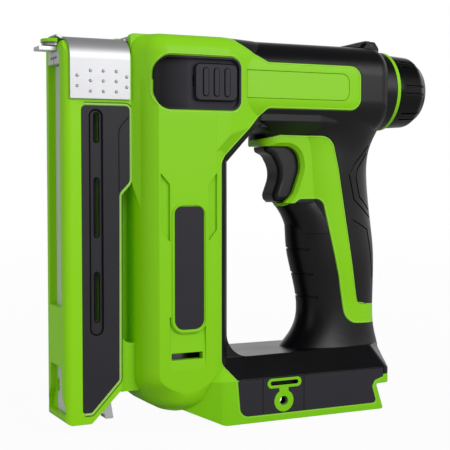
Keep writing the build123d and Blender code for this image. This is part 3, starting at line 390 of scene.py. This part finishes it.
dress(green_plastic, "dial_collar")
dial_plastic = moulded("dial_plastic", linear(5, 5, 7), linear(16, 16, 18), 0.18, grain=6000, depth=1.0e-5,
                       radius=0.0006, gloss=0.2)
dress(dial_plastic, "power_dial", "spring_seat")
dress(screw_steel, "adjuster_screw")


# Hammer, rack, blade and bumper: the sprung parts inside the barrel that drive a staple.
# They are steel, apart from the rubber pad that stops the hammer.

tool_steel = steel("tool_steel", linear(150, 150, 153), linear(196, 196, 198), 0.36, brush=(1, 12, 12))
dress(tool_steel, "hammer", "drive_rack", "driver_blade")
bumper_rubber = moulded("bumper_rubber", linear(26, 26, 27), linear(40, 40, 42), 0.6, grain=4000, depth=3e-5)
dress(bumper_rubber, "bumper")


# Springs: coils of drawn steel wire behind the hammer, the trigger, the pusher and the contact tip.
# Each sits loose between two seats. The power spring is pressed from both ends, by the hammer and by
# the seat that the dial moves, so its copy is in two lengths.

spring_steel = steel("spring_steel", linear(128, 129, 134), linear(170, 171, 174), 0.33)
dress(spring_steel, "power_spring", "trigger_spring", "pusher_spring", "tip_spring")


def sprung(name, node, body, axis, travel, start=0.0, end=1.0):
    """A copy of a spring that rides on what presses it, cut across an axis. Its travel is not used: the copy
    keeps its length.

    Start and end give the share of its length that is copied, for a spring that is pressed from both ends."""
    corners = [Vector(corner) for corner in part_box(node)]
    low, high = [corners[0].lerp(corners[1], share) for share in (start, end)]
    along = Vector([abs(part) for part in axis])
    cuts = []
    if start > 0:
        cuts.append((low, -along))
    if end < 1:
        cuts.append((high, along))
    weld = 1e-6
    coil = bmesh.new()
    coil.from_mesh(nodes[node].data)
    bmesh.ops.remove_doubles(coil, verts=coil.verts, dist=weld)
    for place, outward in cuts:
        whole = [*coil.verts, *coil.edges, *coil.faces]
        bmesh.ops.bisect_plane(coil, geom=whole, plane_co=place, plane_no=outward, clear_outer=True)
        bmesh.ops.holes_fill(coil, edges=[edge for edge in coil.edges if edge.is_boundary])
    mesh = bpy.data.meshes.new(name)
    coil.to_mesh(mesh)
    coil.free()
    mesh.materials.append(spring_steel)
    piece = bpy.data.objects.new(name, mesh)
    bpy.context.collection.objects.link(piece)
    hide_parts(node)
    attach(piece, body)
    1 - travel / (high - low).dot(along)
    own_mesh(piece)


hammer_travel, seat_travel = 0.020, 0.008
hammer_share = hammer_travel / (hammer_travel + seat_travel)
back, front, down = (1, 0, 0), (-1, 0, 0), (0, 0, -1)
sprung("power_coil", "power_spring", "hammer", back, hammer_travel, end=hammer_share)
sprung("seat_coil", "power_spring", "spring_seat", front, seat_travel, start=hammer_share)
sprung("trigger_coil", "trigger_spring", "trigger", back, travel=0.006)
sprung("pusher_coil", "pusher_spring", "pusher", down, travel=0.150)
sprung("tip_coil", "tip_spring", "contact_tip", back, travel=0.006)


# Motor and planetary gear in the column, closed in by the shells.
# A steel can with two magnets and a wound rotor drives the lifter through three planets.

gear_steel = steel("gear_steel", linear(120, 121, 124), linear(172, 172, 174), 0.4)
dress(gear_steel, "motor_can", "ring_gear", "planet_gear_1", "planet_gear_2", "planet_gear_3",
      "planet_carrier", "gearbox_cover", "output_bearing", "lifter_pinion")
magnet = moulded("magnet", linear(60, 60, 63), linear(80, 80, 83), 0.5)
dress(magnet, "motor_magnets")
copper = steel("copper", linear(184, 115, 66), linear(214, 150, 104), 0.35)
dress(copper, "motor_rotor", "terminal_blades")


# Trigger, switch, board and leads, all held between the shells.
# The trigger is smooth dark plastic with a rounded front; it slides straight back into the switch.

trigger_plastic = moulded("trigger_plastic", linear(12, 12, 15), linear(24, 24, 28), 0.34, grain=6500,
                          depth=1.0e-5, radius=0.0006, gloss=0.4)
dress(trigger_plastic, "trigger")
dress(dark_plastic, "trigger_switch", "terminal_block", "mode_switch")
board_green = moulded("board_green", linear(20, 74, 44), linear(40, 100, 66), 0.35)
dress(board_green, "control_board")
wire_skin = moulded("wire_skin", linear(140, 22, 22), linear(170, 40, 40), 0.4)
dress(wire_skin, "wire_leads")


# Side slider: a dark scoop set into the left shell and a ribbed thumb pad that slides in it.
# Both are moulded in smooth black plastic, with the grooves round pad and ribs in the mould. The scoop is
# painted darker towards its front end as shade, and the grooves are drawn as near-black lines of painted
# shadow.

def scoop_painted_shade(x, y, z):
    """Share of painted shade: 1 at the deep front end of the scoop, 0 where its floor rises to the pad."""
    rise_start, steepness = -0.044, 55
    return ((rise_start - x) * steepness).clamped()


scoop_plastic = moulded("scoop_plastic", linear(46, 46, 52), linear(54, 54, 60), 0.44, grain=6500,
                        depth=1.0e-5, radius=0.0006, gloss=0.12, shade=scoop_painted_shade)
dress(scoop_plastic, "well_liner")
dress(dark_plastic, "mode_slider")
# Near-black lines of painted shadow stand for the grooves round the pad and its ribs, and on the magazine
# panels.
groove_shadow = moulded("groove_shadow", linear(5, 5, 6), linear(10, 10, 12), 0.6, gloss=0.1)
pad_edge = rounded_frame(left=-40.7, right=-15.3, low=179.8, high=199.7, rounding=3)
rib_places, rib_half_width = (-34.5, -28, -21.5), 1.6
rib_edges = [rounded_frame(x - rib_half_width, x + rib_half_width, 182, 197.4, 1.5) for x in rib_places]
surface_line("pad_grooves", [pad_edge, *rib_edges], ("mode_slider",), 0.00028, groove_shadow, "mode_slider",
             sides=(-1,))


# Lock lever: a thin black lever on a pin between two ears at the back of the barrel.
# Lever and ears are moulded in hard glossy plastic, and the pin is oiled steel.

dress(dial_plastic, "lever_bracket", "lock_lever")
oiled_steel = steel("oiled_steel", linear(44, 44, 46), linear(70, 70, 73), 0.3)
dress(oiled_steel, "lever_pin")


# Magazine: a green column with black side panels; a folded steel rail slides out of it downwards.
# A sprung pusher in the rail feeds the staples up to the nose. The column has a rim and a groove
# round each panel: the rim is painted pale as a highlight, the groove is a line of painted shadow.
# The panel has a track with three slits that show the staples; their outlines are lines of painted
# shadow, and the slit walls behind the panel are painted dark as shade.

def slit_painted_shade(x, y, z):
    """The share of painted shade, near black, in the walls of the three slits behind the side panels."""
    slit_x, half_width = -0.0935, 0.0013
    slit_mouth, darkest = 0.0157, 0.7
    return x.near(slit_x, half_width) * y.near(0, slit_mouth) * darkest


magazine_plastic = moulded("magazine_plastic", linear(138, 211, 5), linear(145, 215, 16), 0.4,
                           gloss=green_gloss, shade=slit_painted_shade)
dress(magazine_plastic, "magazine_body")
panel_rim = [
    (-100.4, 176.6, 0), (-74.1, 176.6, 3.2), (-74.1, 135.0, 5), (-80.1, 129.0, 5), (-80.6, 27.6, 3.5),
    (-96.7, 10.7, 2), (-101.0, 10.7, 0)]
# The panel rim is painted paler than the column, as a highlight along its edge.
panel_rim_highlight = moulded("panel_rim_highlight", linear(168, 208, 112), linear(184, 220, 136), 0.36)
surface_line("panel_rim", [rounded(panel_rim)], ("magazine_body",), 0.0004, panel_rim_highlight, "casing")
high_groove = [(-100.4, 177.6, 0), (-73.1, 177.6, 4.2), (-73.1, 134.6, 0)]
low_groove = [(-79.1, 128.6, 0), (-79.6, 27.2, 4.5), (-96.3, 9.7, 2), (-101.0, 9.7, 0)]
rim_grooves = [rounded(high_groove), rounded(low_groove)]
# The groove beside the rim is a dark green line of painted shadow.
rim_shadow = moulded("rim_shadow", linear(58, 104, 0), linear(70, 116, 8), 0.6, gloss=green_gloss)
surface_line("rim_groove", rim_grooves, ("magazine_body",), 0.00025, rim_shadow, "casing")
panels = ("left_magazine_panel", "right_magazine_panel")
dress(dark_plastic, *panels, "pusher")
track_edge = rounded_frame(left=-97.4, right=-90.3, low=53.3, high=173.8, rounding=3.4)
surface_line("track_groove", [track_edge], panels, 0.0004, groove_shadow, "casing")
window_spans = ((60.0, 87.0), (105.6, 137.7), (156.3, 172.2))
window_edges = [rounded_frame(-94.9, -92.1, low, high, 1.3) for low, high in window_spans]
surface_line("window_edges", window_edges, panels, 0.0003, groove_shadow, "casing")
panel_step = rounded([(-80.9, 130, 0), (-80.9, 164, 7), (-74.9, 170.5, 0)])
surface_line("panel_step", [panel_step], panels, 0.00022, groove_shadow, "casing")
rail_steel = steel("rail_steel", linear(206, 207, 208), linear(224, 225, 226), 0.34, brush=(10, 10, 1),
                   metallic=0.3)
dress(rail_steel, "magazine_rail")


# Nose: a steel block that guides the blade and a contact tip that is pressed on the work.
# A cover of bright sheet steel is bent over them and hinged at its back to clear a jam. Thirteen small
# bumps pressed out of each side give the fingers a hold. The latch of the rail is of the same steel.

cover_steel = steel("cover_steel", linear(192, 192, 195), linear(208, 208, 211), 0.46, brush=(1, 14, 14),
                    depth=3e-6, metallic=0.75)
dress(cover_steel, "jam_cover")
nose_steel = steel("nose_steel", linear(206, 205, 210), linear(232, 231, 235), 0.32, metallic=0.5)
dress(nose_steel, "contact_tip", "nose_block", "rail_latch")


def pressed_bumps(name, columns, side_y, width, height, material, body):
    """Low round bumps on both sides of a sheet, at the given (X, rows of Z) in millimetres."""
    places = [(x, side * side_y, z) for side in (-1, 1) for x, rows in columns for z in rows]
    points = [[value / 1000 for value in place] for place in places]
    former = Former(name)
    ball = former.node("GeometryNodeMeshUVSphere", {}, {"Segments": 18, "Rings": 10, "Radius": 1.0})
    across, proud = former.size("Half width", width / 2), former.size("Height", height)
    reach = former.node("ShaderNodeCombineXYZ", {}, {"X": across, "Y": proud, "Z": across})
    dome = former.node("GeometryNodeTransform", {}, {"Geometry": ball, "Scale": reach})
    smooth = former.node("GeometryNodeSetShadeSmooth", {}, {"Geometry": dome})
    domes = former.node("GeometryNodeInstanceOnPoints", {}, {"Points": former.path(), "Instance": smooth})
    former.build(domes, points, [], material, body)


outer_rows, inner_rows = (191.5, 186.0), (194.2, 188.9, 183.4)
bump_columns = [
    (-104.5, outer_rows), (-97.2, inner_rows), (-90.0, inner_rows), (-82.7, inner_rows), (-76.7, outer_rows)]
pressed_bumps("cover_bumps", bump_columns, side_y=18.5, width=0.0018, height=0.0008, material=cover_steel,
              body="jam_cover")


# Working light: a small hood at the top of the nose, with a lens under it.
# The hood is moulded in the casing's green, the lens in clear acrylic.

dress(green_plastic, "led_hood")
lens = Finish("lens", {"Transmission Weight": 0.85, "IOR": 1.49, "Base Color": linear(240, 244, 248)})
smears, haze = lens.noise(300, detail=2), 0.12
lens.paint("Roughness", smears * haze)
dress(lens.material, "led_lens")


# Stage: a pale floor, a white surround, a soft key lamp with a weak fill, and the camera.
# The camera stands at the photograph's angle. None of this belongs to the tool.

def studio_floor():
    """The camera sees the floor close to white, with a trace of the shadow near the tool."""
    size, drop = 6.0, 0.0006
    mesh = bpy.data.meshes.new("floor")
    corners = [(-size, -size, 0), (size, -size, 0), (size, size, 0), (-size, size, 0)]
    mesh.from_pydata(corners, [], [(0, 1, 2, 3)])
    floor = bpy.data.objects.new("floor", mesh)
    floor.location.z = -drop
    bpy.context.collection.objects.link(floor)
    pale = Finish("floor_white", {"Roughness": 0.9, "Base Color": linear(178, 178, 178)})
    seen = pale.node("ShaderNodeLightPath", {}, {}, "Is Camera Ray")
    away = pale.node("ShaderNodeVectorMath", {"operation": "LENGTH"}, {0: pale.place()}, "Value")
    near_share, far_share = 0.96, 1.0
    fade_start, fade_rate = 0.15, 0.5
    share = near_share + ((away - fade_start) * fade_rate).clamped() * (far_share - near_share)
    glow = pale.node("ShaderNodeEmission", {}, {"Color": (1, 1, 1, 1), "Strength": 1.0})
    surface = Field(pale, pale.shader.outputs["BSDF"])
    blend = pale.node("ShaderNodeMixShader", {}, {0: seen * share, 1: surface, 2: glow})
    pale.tree.links.new(blend.socket, pale.tree.nodes["Material Output"].inputs["Surface"])
    mesh.materials.append(pale.material)


def white_surround(daylight, overhead, shaded):
    """White walls all round. What mirrors them finds them greyer overhead and on the shaded left."""
    world = bpy.data.worlds.new("surround")
    world.use_nodes = True
    tree = world.node_tree
    way = add_node(tree, "ShaderNodeTexCoord", {}, {}, "Generated")
    sideways, _, upward = add_node(tree, "ShaderNodeSeparateXYZ", {}, {0: way}).node.outputs
    smooth = {"interpolation_type": "SMOOTHSTEP"}
    high_grey = add_node(tree, "ShaderNodeMapRange", smooth, {
        "Value": upward, "From Min": 0.22, "From Max": 0.75, "To Min": 1.0, "To Max": overhead})
    left_grey = add_node(tree, "ShaderNodeMapRange", smooth, {
        "Value": sideways, "From Min": -0.7, "From Max": 0.3, "To Min": shaded, "To Max": 1.0})
    grey = add_node(tree, "ShaderNodeMath", {"operation": "MULTIPLY"}, {0: high_grey, 1: left_grey})
    ray = tree.nodes.new("ShaderNodeLightPath").outputs
    mirrored = add_node(tree, "ShaderNodeMath", {"operation": "MAXIMUM"}, {
        0: ray["Is Glossy Ray"], 1: ray["Is Transmission Ray"]})
    lit = add_node(tree, "ShaderNodeMix", {}, {"Factor": mirrored, "A": daylight, "B": grey})
    level = add_node(tree, "ShaderNodeMath", {"operation": "MAXIMUM"}, {0: ray["Is Camera Ray"], 1: lit})
    background = tree.nodes["Background"].inputs
    background["Color"].default_value = (1, 1, 1, 1)
    tree.links.new(level, background["Strength"])
    bpy.context.scene.world = world


def soft_lamp(name, place, target, size, power):
    """A square area lamp that faces its target."""
    lamp = bpy.data.lights.new(name, "AREA")
    lamp.size = size
    lamp.energy = power
    stand = bpy.data.objects.new(name, lamp)
    stand.location = place
    stand.rotation_euler = (Vector(target) - Vector(place)).to_track_quat("-Z", "Y").to_euler()
    bpy.context.collection.objects.link(stand)


studio_floor()
white_surround(daylight=0.72, overhead=0.1, shaded=0.05)
middle = (0.0, 0.0, 0.11)
soft_lamp("key", (0.45, -1.3, 0.8), middle, size=1.0, power=11.5)
soft_lamp("fill", (-1.4, -0.5, 0.35), middle, size=1.0, power=2.2)

turn, tilt = math.radians(26.2), math.radians(2.9)
sight = Vector((math.sin(turn) * math.cos(tilt), math.cos(turn) * math.cos(tilt), -math.sin(tilt)))
camera = bpy.data.objects.new("camera", bpy.data.cameras.new("camera"))
camera.data.lens = 88
camera.location = (-0.2912, -0.5735, 0.1421)
camera.rotation_euler = sight.to_track_quat("-Z", "Y").to_euler()
bpy.context.collection.objects.link(camera)
bpy.context.scene.camera = camera
bpy.context.scene.view_settings.view_transform = "Standard"
